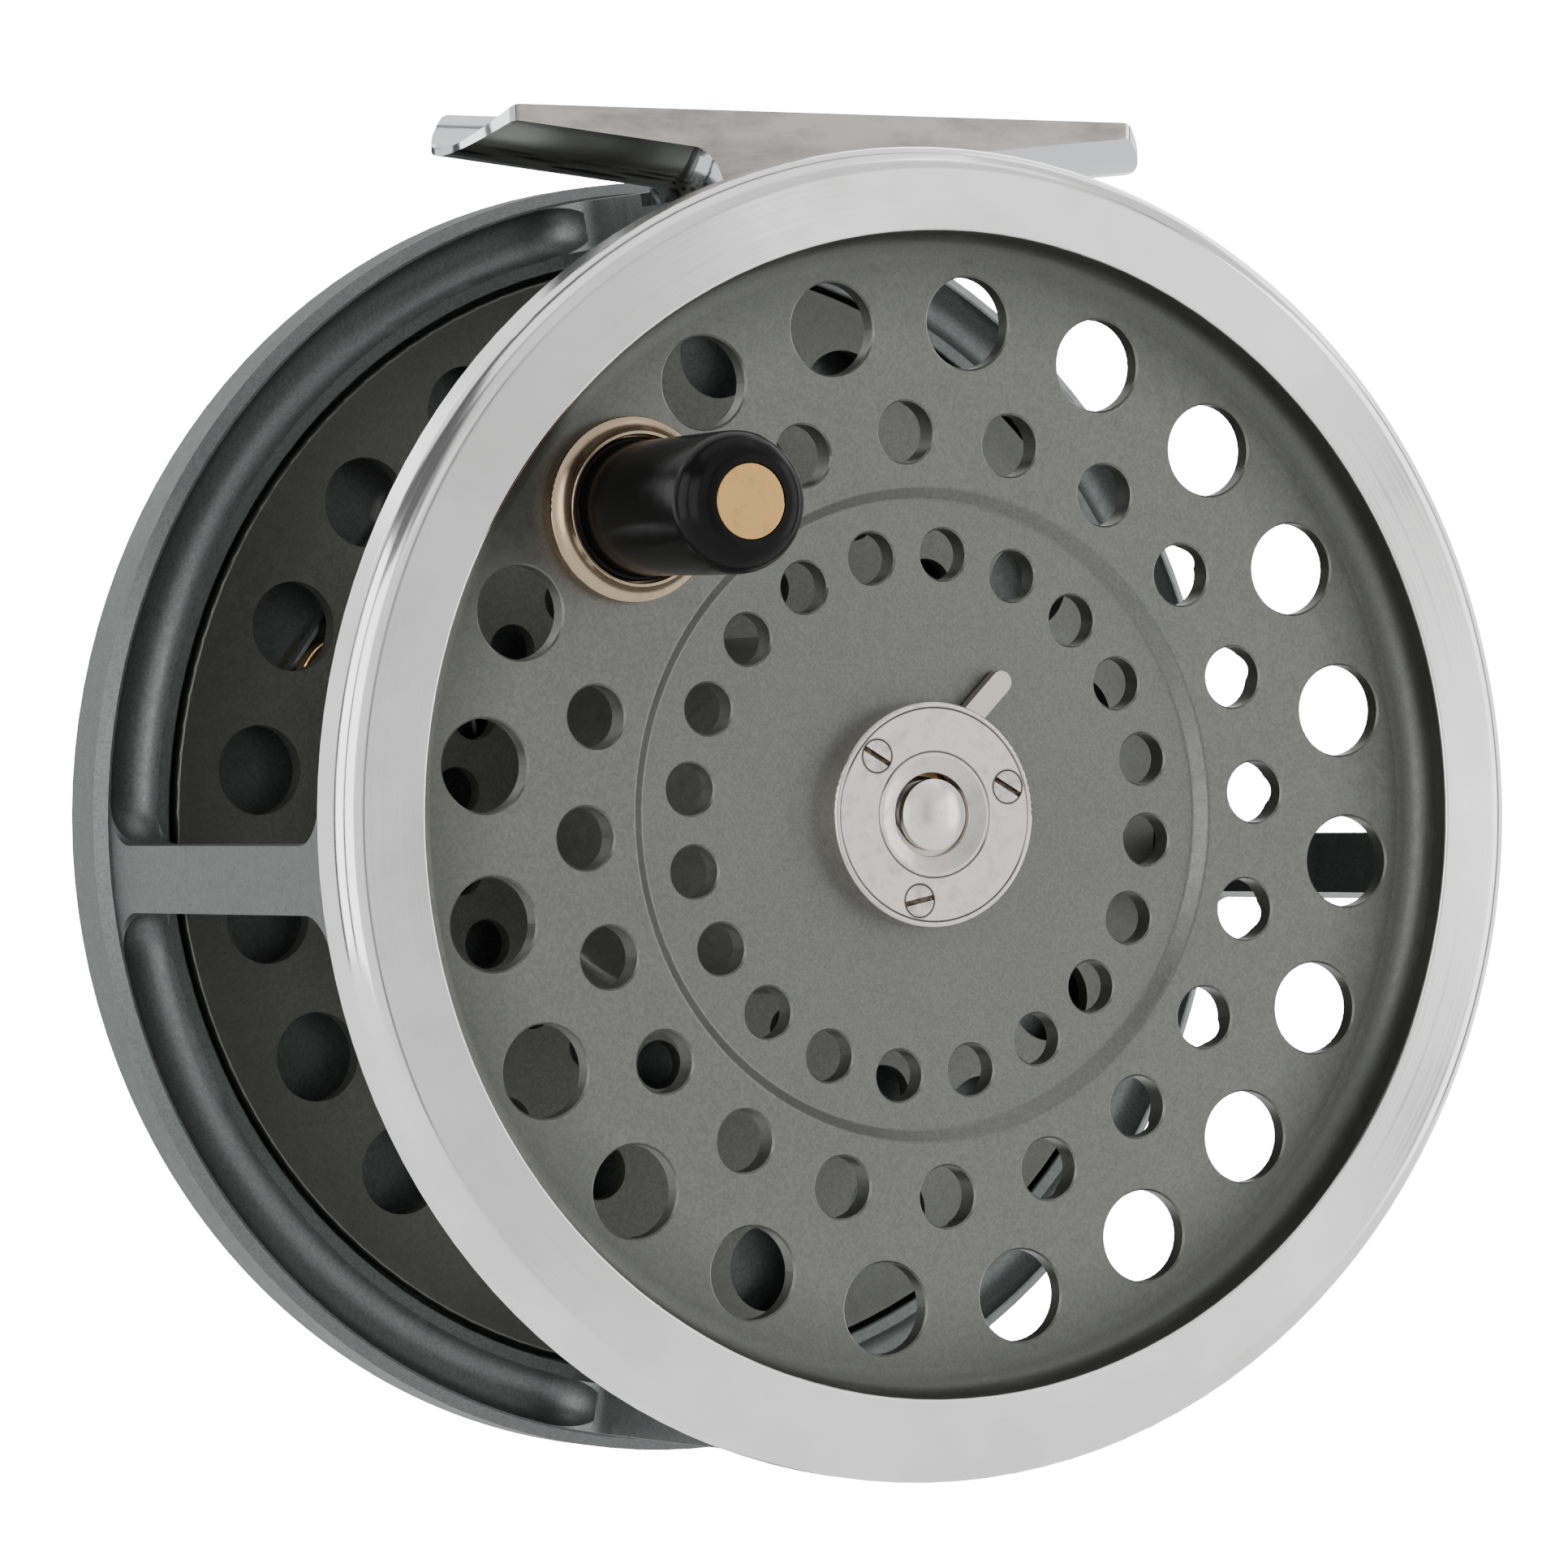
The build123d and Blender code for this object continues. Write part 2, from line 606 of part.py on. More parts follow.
with BuildPart() as reel_foot:
    slope = Vector(cos(radians(ARM_SLOPE)), 0, sin(radians(ARM_SLOPE)))
    lift = Vector(-sin(radians(ARM_SLOPE)), 0, cos(radians(ARM_SLOPE)))
    tip = Vector(FOOT_HALF + FOOT_TIP, 0, AXIS_Z + ARM_TIP_HEIGHT) + lift * ARM_R + slope * 5
    with BuildSketch(Plane(origin=tuple(tip), x_dir=(0, 1, 0), z_dir=tuple(slope * -1))) as disc:
        Circle(ARM_R)
    extrude(disc.sketch, amount=FOOT_HALF)
    with BuildSketch(Plane.XY.offset(AXIS_Z + PEDESTAL_BASE)) as plan:
        with BuildLine():
            Polyline((FOOT_HALF, -HALF_WIDTH), (0, -HALF_WIDTH), (0, HALF_WIDTH), (FOOT_HALF, HALF_WIDTH))
            ThreePointArc((FOOT_HALF, HALF_WIDTH), (FOOT_HALF + FOOT_TIP, 0), (FOOT_HALF, -HALF_WIDTH))
        make_face()
        fillet(plan.vertices().sort_by(Axis.X)[-2:], FOOT_CORNER)
    extrude(plan.sketch, amount=HORN_HEIGHT - PEDESTAL_BASE, mode=Mode.INTERSECT)
    mirror(about=Plane.YZ)
    with BuildSketch(Plane.XY.offset(AXIS_Z + PEDESTAL_BASE - FOOT_ROOT)) as pedestal:
        Rectangle(2 * PEDESTAL_HALF, FOOT_WIDTH)
    extrude(pedestal.sketch, amount=HORN_HEIGHT - PEDESTAL_BASE + FOOT_ROOT)
    curves = reel_foot.edges().filter_by(GeomType.ELLIPSE)
    fillet(curves.filter_by(lambda edge: abs(abs(edge.center().X) - PEDESTAL_HALF) < 0.01), FOOT_ROOT)
    with Locations((0, 0, AXIS_Z + PEDESTAL_BASE)):
        Box(80, 20, 10, align=(Align.CENTER, Align.CENTER, Align.MAX), mode=Mode.SUBTRACT)
    Cylinder(SEAT_R, 80, rotation=(0, 90, 0), mode=Mode.SUBTRACT)
    with BuildSketch(Plane.XY.offset(AXIS_Z + PEDESTAL_BASE)) as screw_holes:
        with Locations(*FOOT_SCREW_SPOTS):
            Circle(FOOT_SCREW_SHANK)
    extrude(screw_holes.sketch, amount=FOOT_SCREW_TOP - PEDESTAL_BASE, mode=Mode.SUBTRACT)
finish(reel_foot, "reel_foot")

with BuildPart() as foot_screws:
    with BuildSketch(Plane.XY.offset(AXIS_Z + FOOT_HEAD_Z - 0.6)) as heads:
        with Locations(*FOOT_SCREW_SPOTS):
            Circle(FOOT_HEAD_R - 0.05)
    extrude(heads.sketch, amount=0.6)
    with BuildSketch(Plane.XY.offset(AXIS_Z + FOOT_HEAD_Z - 0.6)) as shanks:
        with Locations(*FOOT_SCREW_SPOTS):
            Circle(FOOT_SCREW_SHANK)
    extrude(shanks.sketch, amount=FOOT_SCREW_TOP - FOOT_HEAD_Z + 0.6)
    with BuildSketch(Plane.XY.offset(AXIS_Z + FOOT_HEAD_Z - 0.6)) as slots:
        with Locations(*FOOT_SCREW_SPOTS):
            Rectangle(5, 0.6)
    extrude(slots.sketch, amount=0.35, mode=Mode.SUBTRACT)
finish(foot_screws, "foot_screws")

# Spindle -----------------------------------------------------------------------------------------

DOME = TIP_SIDE - TIP_FRONT
DOME_R = (TIP_R**2 + DOME**2) / (2 * DOME)
dome_r = TIP_R / 2
dome_depth = TIP_FRONT + DOME_R - sqrt(DOME_R**2 - dome_r**2)

with BuildPart() as spindle:
    with BuildSketch(section(90)) as half:
        with BuildLine():
            Polyline(
                (TIP_FRONT, 0),
                (BACK_OUT, 0),
                (BACK_OUT, SPIGOT_R),
                (BACK_IN, SPIGOT_R),
                (BACK_IN, BASE_R),
                (BASE_FRONT, BASE_R),
                (BASE_FRONT, SPINDLE_R),
                (NECK_BACK + 0.3, SPINDLE_R),
                (NECK_BACK, SPINDLE_R - 0.3),
                (NECK_BACK, NECK_R),
                (NECK_FRONT, NECK_R),
                (NECK_FRONT, TIP_R - 0.1),
                (NECK_FRONT - 0.1, TIP_R),
                (TIP_SIDE, TIP_R),
            )
            ThreePointArc((TIP_SIDE, TIP_R), (dome_depth, dome_r), (TIP_FRONT, 0))
        make_face()
    revolve(half.sketch, SPOOL_AXIS)
    pins([(0, 0)], SPINDLE_SCREW_SHANK, SPINDLE_SCREW_END, BACK_OUT, Mode.SUBTRACT)
finish(spindle, "spindle")

with BuildPart() as spindle_screw:
    turn(
        [
            (SPINDLE_SCREW_END, 0),
            (SPINDLE_SCREW_END, SPINDLE_SCREW_SHANK),
            (BACK_OUT, SPINDLE_SCREW_SHANK),
            (BACK_OUT, SPINDLE_HEAD_R),
            (BACK_OUT + 1.2, SPINDLE_HEAD_R, 0.5),
            (BACK_OUT + 1.2, 0),
        ]
    )
    with BuildSketch(facing(BACK_OUT + 2)) as slot:
        Rectangle(10, 0.8)
    extrude(slot.sketch, amount=1.4, mode=Mode.SUBTRACT)
finish(spindle_screw, "spindle_screw")

# Pawls on their posts ----------------------------------------------------------------------------

with BuildPart() as pawl_posts:
    for x, z in POST_PLACES:
        turn(
            [
                (CLIP_FRONT - 0.25, 0),
                (CLIP_FRONT - 0.25, POST_R, 0.1),
                (CLIP_FRONT, POST_R),
                (CLIP_FRONT, CLIP_NECK_R),
                (CLIP_BACK, CLIP_NECK_R),
                (CLIP_BACK, POST_R),
                (PAWL_BACK + RUN, POST_R),
                (PAWL_BACK + RUN, POST_R + 0.8),
                (BACK_IN, POST_R + 0.8),
                (BACK_IN, POST_SPIGOT_R),
                (BACK_IN + 1.5, POST_SPIGOT_R),
                (BACK_IN + 1.5, 0),
            ],
            x,
            z,
        )
finish(pawl_posts, "pawl_posts")

with BuildPart() as pawl_clips:
    with BuildSketch(facing(CLIP_BACK)):
        with Locations(*POST_PLACES):
            Circle(POST_R + 0.8)
            Circle(CLIP_NECK_R, mode=Mode.SUBTRACT)
            Rectangle(1.3, 4, align=(Align.CENTER, Align.MIN), mode=Mode.SUBTRACT)
    extrude(amount=CLIP_BACK - CLIP_FRONT)
finish(pawl_clips, "pawl_clips")

for name, place, heading in [
    ("check_pawl", POST_PLACES[0], PAWL_ANGLE),
    ("spare_pawl", POST_PLACES[1], 240 - PAWL_ANGLE),
]:
    with BuildPart() as pawl:
        with BuildSketch(facing(PAWL_BACK)):
            with Locations(Location(place, heading)):
                Polygon(*[polar(2 * PAWL_HEEL, 120 * k) for k in range(3)], align=None)
                Circle(2 * PAWL_HEEL - 0.25, mode=Mode.INTERSECT)
                Circle(POST_R + RUN, mode=Mode.SUBTRACT)
        extrude(amount=PAWL_BACK - PAWL_FRONT)
    finish(pawl, name)

# Springs: a U of flat strip around each anchor screw, one leg on the pawl's back ------------------


def leg(anchor, turn_side, target, reach, length):
    """A straight leg of strip leaving the anchor's bend and passing a target at a distance."""
    span = (target[0] - anchor[0], target[1] - anchor[1])
    bend = turn_side * (ANCHOR_R + SPRING_THICK / 2)
    heading = degrees(atan2(span[1], span[0])) - degrees(asin((reach - bend) / hypot(*span)))
    side = polar(-bend, heading + 90)
    start = (anchor[0] + side[0], anchor[1] + side[1])
    with Locations(Location(start, heading)):
        Rectangle(length, SPRING_THICK, align=(Align.MIN, Align.CENTER))


for name, side, reach, cam in [
    ("check_spring", -1, PAWL_R + PAWL_HEEL, CAM_CENTRE),
    ("spare_spring", 1, PAWL_R + 2 * PAWL_HEEL - 0.25, (-CAM_CENTRE[0], CAM_CENTRE[1])),
]:
    anchor = (side * ANCHOR[0], ANCHOR[1])
    with BuildPart() as spring:
        with BuildSketch(facing(SPRING_BACK)):
            with Locations(anchor):
                Circle(ANCHOR_R + SPRING_THICK)
                Circle(ANCHOR_R, mode=Mode.SUBTRACT)
                Rectangle(8, 8, rotation=-90, align=(Align.MIN, Align.CENTER), mode=Mode.SUBTRACT)
            leg(anchor, side, (0, 0), -side * (reach + SPRING_THICK / 2 + 0.01), LEG_IN)
            leg(anchor, -side, cam, -side * CAM_LIFT, LEG_OUT)
        extrude(amount=SPRING_BACK - SPRING_FRONT)
    finish(spring, name)

with BuildPart() as spring_screws:
    for x, z in ANCHOR_PLACES:
        turn(
            [
                (ANCHOR_HEAD, 0),
                (ANCHOR_HEAD, ANCHOR_R + 1, 0.2),
                (SPRING_FRONT - RUN, ANCHOR_R + 1),
                (SPRING_FRONT - RUN, ANCHOR_R - 0.02),
                (SPRING_BACK + RUN, ANCHOR_R - 0.02),
                (SPRING_BACK + RUN, ANCHOR_R + 1),
                (BACK_IN, ANCHOR_R + 1),
                (BACK_IN, ANCHOR_THREAD_R),
                (BACK_IN + 1.5, ANCHOR_THREAD_R),
                (BACK_IN + 1.5, 0),
            ],
            x,
            z,
        )
    with BuildSketch(facing(ANCHOR_HEAD + 0.25)) as slots:
        with Locations(*ANCHOR_PLACES):
            Rectangle(6, 0.5)
    extrude(slots.sketch, amount=1, mode=Mode.SUBTRACT)
finish(spring_screws, "spring_screws")

# Regulator: a knob behind the back plate turns an offset cam beside the check spring --------------

SX, SZ = SHAFT_PLACE

with BuildPart() as regulator_knob:
    turn(
        [
            (CAM_FRONT + 0.3, 0),
            (CAM_FRONT + 0.3, SHAFT_R),
            (BACK_OUT + 0.1, SHAFT_R),
            (BACK_OUT + 0.1, KNOB_R, 0.3),
            (KNOB_BACK, KNOB_R, 0.5),
            (KNOB_BACK, 0),
        ],
        SX,
        SZ,
    )
    with BuildSketch(facing(KNOB_BACK + 1)) as grips:
        with Locations(Location(SHAFT_PLACE)):
            with PolarLocations(KNOB_R + 0.35, KNOB_GRIPS):
                Circle(0.6)
    extrude(grips.sketch, amount=KNOB_BACK - BACK_OUT, mode=Mode.SUBTRACT)
    pins([SHAFT_PLACE], CAM_SCREW_SHANK, CAM_FRONT, CAM_SCREW_END, Mode.SUBTRACT)
finish(regulator_knob, "regulator_knob")

with BuildPart() as regulator_cam:
    cx, cz = CAM_CENTRE
    turn([(CAM_FRONT, 0), (CAM_FRONT, CAM_R, 0.2), (CAM_BACK, CAM_R), (CAM_BACK, 0)], cx, cz)
    pins([SHAFT_PLACE], SHAFT_R, CAM_FRONT + 0.3, CAM_BACK, Mode.SUBTRACT)
    pins([SHAFT_PLACE], CAM_SCREW_SHANK, CAM_FRONT, CAM_FRONT + 0.3, Mode.SUBTRACT)
finish(regulator_cam, "regulator_cam")

with BuildPart() as regulator_screw:
    turn(
        [
            (CAM_FRONT - 0.5, 0),
            (CAM_FRONT - 0.5, CAM_HEAD_R, 0.2),
            (CAM_FRONT, CAM_HEAD_R),
            (CAM_FRONT, CAM_SCREW_SHANK),
            (CAM_SCREW_END, CAM_SCREW_SHANK),
            (CAM_SCREW_END, 0),
        ],
        SX,
        SZ,
    )
    with BuildSketch(facing(CAM_FRONT - 0.25)) as slot:
        with Locations(SHAFT_PLACE):
            Rectangle(6, 0.4)
    extrude(slot.sketch, amount=1, mode=Mode.SUBTRACT)
finish(regulator_screw, "regulator_screw")
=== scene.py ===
"""Fly reel: looks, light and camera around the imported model. Metres."""

import math

import bpy
from mathutils import Matrix, Vector


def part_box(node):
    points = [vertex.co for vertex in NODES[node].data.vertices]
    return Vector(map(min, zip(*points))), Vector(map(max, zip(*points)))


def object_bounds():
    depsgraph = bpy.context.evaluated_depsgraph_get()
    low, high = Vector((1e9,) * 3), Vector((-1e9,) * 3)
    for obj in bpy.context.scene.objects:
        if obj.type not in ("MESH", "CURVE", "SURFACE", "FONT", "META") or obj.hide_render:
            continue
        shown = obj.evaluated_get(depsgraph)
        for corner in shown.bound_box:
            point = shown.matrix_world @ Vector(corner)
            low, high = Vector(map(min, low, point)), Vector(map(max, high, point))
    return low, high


MM = 0.001

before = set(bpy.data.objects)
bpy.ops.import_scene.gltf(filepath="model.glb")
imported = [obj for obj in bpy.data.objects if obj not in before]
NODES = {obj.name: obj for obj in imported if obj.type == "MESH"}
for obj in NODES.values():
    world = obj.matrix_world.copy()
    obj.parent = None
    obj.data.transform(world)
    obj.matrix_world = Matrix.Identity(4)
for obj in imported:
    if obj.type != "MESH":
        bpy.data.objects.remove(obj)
CAD_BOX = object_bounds()

# The reel's own axes, read from the frame ---------------------------------------------------------

SPOOL_DEPTH = 43.4 * MM  # from the front plate's face back to the spool's rear end
SPOOL_LOW, SPOOL_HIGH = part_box("spool")
AXIS_Z = (SPOOL_LOW[2] + SPOOL_HIGH[2]) / 2
RIM_R = (SPOOL_HIGH[0] - SPOOL_LOW[0]) / 2
FACE_Y = SPOOL_HIGH[1] - SPOOL_DEPTH


def middle(name):
    """Where a round node's own axis crosses the plate, as x and z."""
    low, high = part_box(name)
    return ((low[0] + high[0]) / 2, (low[2] + high[2]) / 2)


HUB = (0, AXIS_Z)
KNOB = middle("handle_knob")
CAP_SCREW_RING = 6.9 * MM
CAP_SCREW_ANGLES = (18, 138, 258)

# Camera: a long lens, level with the reel and a little left of its front --------------------------

YAW, PITCH, ROLL = (math.radians(angle) for angle in (-28.24, -0.1, -0.49))
LENS = 210.8
SENSOR = 36.0
OFFSET = Vector((11.23, -2.4, 721.4)) * MM


def add_camera():
    """A camera placed so that the plate's middle lies OFFSET right, up and ahead of it."""
    ahead = Vector((-math.sin(YAW) * math.cos(PITCH), math.cos(YAW) * math.cos(PITCH), -math.sin(PITCH)))
    flat_right = ahead.cross(Vector((0, 0, 1))).normalized()
    flat_up = flat_right.cross(ahead)
    right = flat_right * math.cos(ROLL) + flat_up * math.sin(ROLL)
    up = flat_up * math.cos(ROLL) - flat_right * math.sin(ROLL)
    place = Vector((0, FACE_Y, AXIS_Z)) - right * OFFSET.x - up * OFFSET.y - ahead * OFFSET.z
    data = bpy.data.cameras.new("camera")
    data.lens = LENS
    data.sensor_width = SENSOR
    data.clip_start = 0.01
    data.clip_end = 20
    camera = bpy.data.objects.new("camera", data)
    camera.matrix_world = Matrix(
        (
            (right.x, up.x, -ahead.x, place.x),
            (right.y, up.y, -ahead.y, place.y),
            (right.z, up.z, -ahead.z, place.z),
            (0, 0, 0, 1),
        )
    )
    bpy.context.collection.objects.link(camera)
    bpy.context.scene.camera = camera


add_camera()

# Node helpers -------------------------------------------------------------------------------------


class Nodes:
    """A material's node tree with short ways to add and link nodes."""

    def __init__(self, name):
        self.material = bpy.data.materials.new(name)
        self.material.use_nodes = True
        self.tree = self.material.node_tree
        self.shader = self.tree.nodes["Principled BSDF"]
        self.place = self.add("ShaderNodeTexCoord").outputs["Object"]

    def add(self, kind, **settings):
        node = self.tree.nodes.new(kind)
        for key, value in settings.items():
            setattr(node, key, value)
        return node

    def link(self, source, target):
        self.tree.links.new(source, target)

    def feed(self, node, index, value):
        if isinstance(value, (int, float, tuple)):
            node.inputs[index].default_value = value
        else:
            self.link(value, node.inputs[index])

    def math(self, operation, a, b=0.0):
        node = self.add("ShaderNodeMath", operation=operation)
        self.feed(node, 0, a)
        self.feed(node, 1, b)
        return node.outputs[0]

    def noise(self, scale, detail=4.0, rough=0.55, place=None, stretch=None):
        node = self.add("ShaderNodeTexNoise")
        node.inputs["Scale"].default_value = scale
        node.inputs["Detail"].default_value = detail
        node.inputs["Roughness"].default_value = rough
        source = place or self.place
        if stretch:
            mapping = self.add("ShaderNodeMapping")
            mapping.inputs["Scale"].default_value = stretch
            self.link(source, mapping.inputs["Vector"])
            source = mapping.outputs[0]
        self.link(source, node.inputs["Vector"])
        return node.outputs["Fac"]

    def spread(self, value, low, high, out_low, out_high):
        node = self.add("ShaderNodeMapRange", clamp=True)
        self.feed(node, 0, value)
        for index, number in enumerate((low, high, out_low, out_high)):
            node.inputs[index + 1].default_value = number
        return node.outputs[0]

    def mix(self, factor, a, b):
        node = self.add("ShaderNodeMix", data_type="RGBA")
        self.feed(node, 0, factor)
        for index, colour in ((6, a), (7, b)):
            if isinstance(colour, tuple):
                node.inputs[index].default_value = (*colour, 1)
            else:
                self.link(colour, node.inputs[index])
        return node.outputs[2]

    def choose(self, factor, a, b, kind="FLOAT"):
        node = self.add("ShaderNodeMix", data_type=kind)
        first, result = {"FLOAT": (2, 0), "VECTOR": (4, 1)}[kind]
        for index, value in ((0, factor), (first, a), (first + 1, b)):
            self.feed(node, index, value)
        return node.outputs[result]

    def bump(self, height, distance, strength=1.0, after=None):
        node = self.add("ShaderNodeBump")
        node.inputs["Strength"].default_value = strength
        node.inputs["Distance"].default_value = distance
        self.link(height, node.inputs["Height"])
        if after is not None:
            self.link(after, node.inputs["Normal"])
        return node.outputs[0]

    def polar(self, centre_x, centre_z):
        """Radius from an axis parallel to the spool's, depth behind the plate, and x and z from the axis."""
        split = self.add("ShaderNodeSeparateXYZ")
        self.link(self.place, split.inputs[0])
        x = self.math("SUBTRACT", split.outputs[0], centre_x)
        z = self.math("SUBTRACT", split.outputs[2], centre_z)
        depth = self.math("SUBTRACT", split.outputs[1], FACE_Y)
        return self.distance(x, z), depth, x, z

    def distance(self, across, along):
        """The length of two offsets at a right angle."""
        squares = self.math("ADD", self.math("MULTIPLY", across, across), self.math("MULTIPLY", along, along))
        return self.math("SQRT", squares)

    def rings(self, radius, depth, scale):
        """Noise that runs in fine rings about an axis, as a lathe leaves it."""
        joined = self.add("ShaderNodeCombineXYZ")
        self.link(radius, joined.inputs[0])
        self.link(depth, joined.inputs[1])
        return self.noise(scale, 3.0, 0.6, joined.outputs[0])

    def set(self, **values):
        names = {
            "base": "Base Color",
            "metal": "Metallic",
            "rough": "Roughness",
            "normal": "Normal",
            "specular": "Specular IOR Level",
        }
        for key, value in values.items():
            socket = self.shader.inputs[names[key]]
            if isinstance(value, tuple):
                socket.default_value = (*value, 1)
            elif isinstance(value, (int, float)):
                socket.default_value = value
            else:
                self.link(value, socket)


# Materials ----------------------------------------------------------------------------------------

ENAMEL = (0.160, 0.165, 0.151)
ENAMEL_DARK = (0.129, 0.133, 0.122)
# Painted shade: the dark grey the spool's plate fades to near the rim, where the cove lies in shade
COVE_PAINTED_SHADE = (0.060, 0.062, 0.058)
CAGE = (0.146, 0.156, 0.153)
CAGE_DARK = (0.112, 0.120, 0.118)
POLISHED = (0.92, 0.92, 0.92)
DULLED = (0.80, 0.79, 0.78)

SCRATCH = 0.01 * MM  # how deep the finest marks are

# The rim's outline: the outer rounding's radius and the depth of its centre, the slope of the face, and
# how far in from the outside, and at what depth, the inner edge's rounding has its centre
RIM_ROUND = 2.2 * MM
RIM_TURN = -1.176 * MM
RIM_SLOPE = math.radians(7.65)
RIM_EDGE = 6.505 * MM
EDGE_TURN = -3.772 * MM
EDGE_START = 6.4 * MM

def enamel_colour(nodes, light, dark):
    """Grey with a green cast, mottled finely and, more faintly, in clouds."""
    fine = nodes.noise(4200, 3.0)
    cloud = nodes.noise(110, 4.0)
    blend = nodes.math("ADD", nodes.math("MULTIPLY", fine, 0.88), nodes.math("MULTIPLY", cloud, 0.12))
    return nodes.mix(nodes.spread(blend, 0.38, 0.62, 0, 1), dark, light)


def cage_enamel():
    """Satin grey-green finish on the cage, over the fine marks of the lathe."""
    nodes = Nodes("cage_enamel")
    radius, depth, _, _ = nodes.polar(0, AXIS_Z)
    turned = nodes.rings(radius, depth, 2300)
    grain = nodes.noise(5200, 2.0)
    marks = nodes.math("ADD", nodes.math("MULTIPLY", grain, 0.5), turned)
    nodes.set(
        base=enamel_colour(nodes, CAGE, CAGE_DARK),
        metal=0.9,
        rough=nodes.spread(nodes.noise(900), 0.3, 0.7, 0.40, 0.50),
        normal=nodes.bump(marks, SCRATCH, 0.5),
    )
    return nodes.material


def rim_normal(nodes, radius, depth, x, z):
    """The rim's own normal from its turned outline: an inner edge, a sloping face and a rounding."""
    out = nodes.math("SUBTRACT", radius, RIM_R - RIM_ROUND)
    outer = nodes.math("ARCTAN2", out, nodes.math("SUBTRACT", RIM_TURN, depth))
    outer = nodes.math("MINIMUM", nodes.math("MAXIMUM", outer, RIM_SLOPE), math.pi / 2)
    back_in = nodes.math("SUBTRACT", radius, RIM_R - RIM_EDGE)
    inner = nodes.math("ARCTAN2", back_in, nodes.math("SUBTRACT", EDGE_TURN, depth))
    inner = nodes.math("MAXIMUM", nodes.math("MINIMUM", inner, RIM_SLOPE), -math.pi / 2)
    angle = nodes.choose(nodes.math("LESS_THAN", radius, RIM_R - EDGE_START), outer, inner)
    outwards = nodes.math("DIVIDE", nodes.math("SINE", angle), radius)
    joined = nodes.add("ShaderNodeCombineXYZ")
    nodes.link(nodes.math("MULTIPLY", x, outwards), joined.inputs[0])
    nodes.link(nodes.math("MULTIPLY", nodes.math("COSINE", angle), -1.0), joined.inputs[1])
    nodes.link(nodes.math("MULTIPLY", z, outwards), joined.inputs[2])
    to_world = nodes.add("ShaderNodeVectorTransform", vector_type="NORMAL")
    to_world.convert_from = "OBJECT"
    to_world.convert_to = "WORLD"
    nodes.link(joined.outputs[0], to_world.inputs[0])
    return to_world.outputs[0]


def spool_enamel():
    """The spool: the cage's finish, with painted shade darkening it towards the rim, which is bare and
    polished.
    """
    nodes = Nodes("spool_enamel")
    radius, depth, x, z = nodes.polar(0, AXIS_Z)

    def zone(inside, behind):
        """One where the radius is over a limit and the depth is under one."""
        beyond = nodes.math("GREATER_THAN", radius, RIM_R - inside)
        return nodes.math("MULTIPLY", beyond, nodes.math("LESS_THAN", depth, behind))

    lip = zone(7.2 * MM, -3.72 * MM)
    face = zone(6.3 * MM, -2.2 * MM)
    rounded = zone(4.0 * MM, -1.35 * MM)
    band = zone(0.3 * MM, 1.1 * MM)
    shaped = nodes.math("MAXIMUM", nodes.math("MAXIMUM", lip, face), nodes.math("MAXIMUM", rounded, band))
    front = zone(6.0 * MM, -1.35 * MM)
    outside = zone(0.8 * MM, 2 * MM)
    rim = nodes.math("MAXIMUM", nodes.math("MAXIMUM", lip, front), outside)
    grain = nodes.noise(5200, 2.0)
    turned = nodes.rings(radius, depth, 2300)
    satin = nodes.spread(nodes.noise(900), 0.3, 0.7, 0.36, 0.46)
    clouds = nodes.noise(90, 3.0, 0.6)
    buffing = nodes.math("ADD", nodes.rings(radius, depth, 3800), clouds)
    polish = nodes.spread(buffing, 0.75, 1.25, 0.09, 0.2)
    marks = nodes.math("ADD", nodes.math("MULTIPLY", grain, 0.6), turned)
    rough_mark = nodes.bump(marks, SCRATCH, 0.35)
    smooth_mark = nodes.bump(turned, SCRATCH, 0.02, rim_normal(nodes, radius, depth, x, z))
    finish = enamel_colour(nodes, ENAMEL, ENAMEL_DARK)
    # Painted shade: the plate's finish darkens towards the rim, as if the cove shades it
    enamel_with_painted_shade = nodes.mix(nodes.spread(radius, RIM_R - 15 * MM, RIM_R - 8 * MM, 0, 0.6), finish, COVE_PAINTED_SHADE)
    nodes.set(
        base=nodes.mix(rim, enamel_with_painted_shade, nodes.mix(nodes.spread(clouds, 0.35, 0.65, 0, 1), POLISHED, DULLED)),
        metal=nodes.spread(rim, 0, 1, 0.9, 1.0),
        rough=nodes.choose(rim, satin, polish),
        normal=nodes.choose(shaped, rough_mark, smooth_mark, "VECTOR"),
    )
    return nodes.material


def turned_metal(name, colour, rough, centre, scale=3000, contrast=0.12, bump=0.25, worn=0.5):
    """Metal with a lathe's fine rings about an axis, and a few darker scuffs."""
    nodes = Nodes(name)
    radius, depth, _, _ = nodes.polar(*centre)
    turned = nodes.rings(radius, depth, scale)
    scuffs = nodes.spread(nodes.noise(700, 5.0, 0.7), 0.52, 0.72, 0, 1)
    lines = nodes.spread(turned, 0.45, 0.75, 0, 0.5)
    darker = tuple(channel * 0.6 for channel in colour)
    wear = nodes.math("MULTIPLY", nodes.math("MAXIMUM", scuffs, lines), worn)
    uneven = nodes.math("MULTIPLY", nodes.math("SUBTRACT", turned, 0.5), contrast)
    nodes.set(
        base=nodes.mix(wear, colour, darker),
        metal=1.0,
        rough=nodes.math("ADD", rough, uneven),
        normal=nodes.bump(turned, SCRATCH, bump),
    )
    return nodes.material


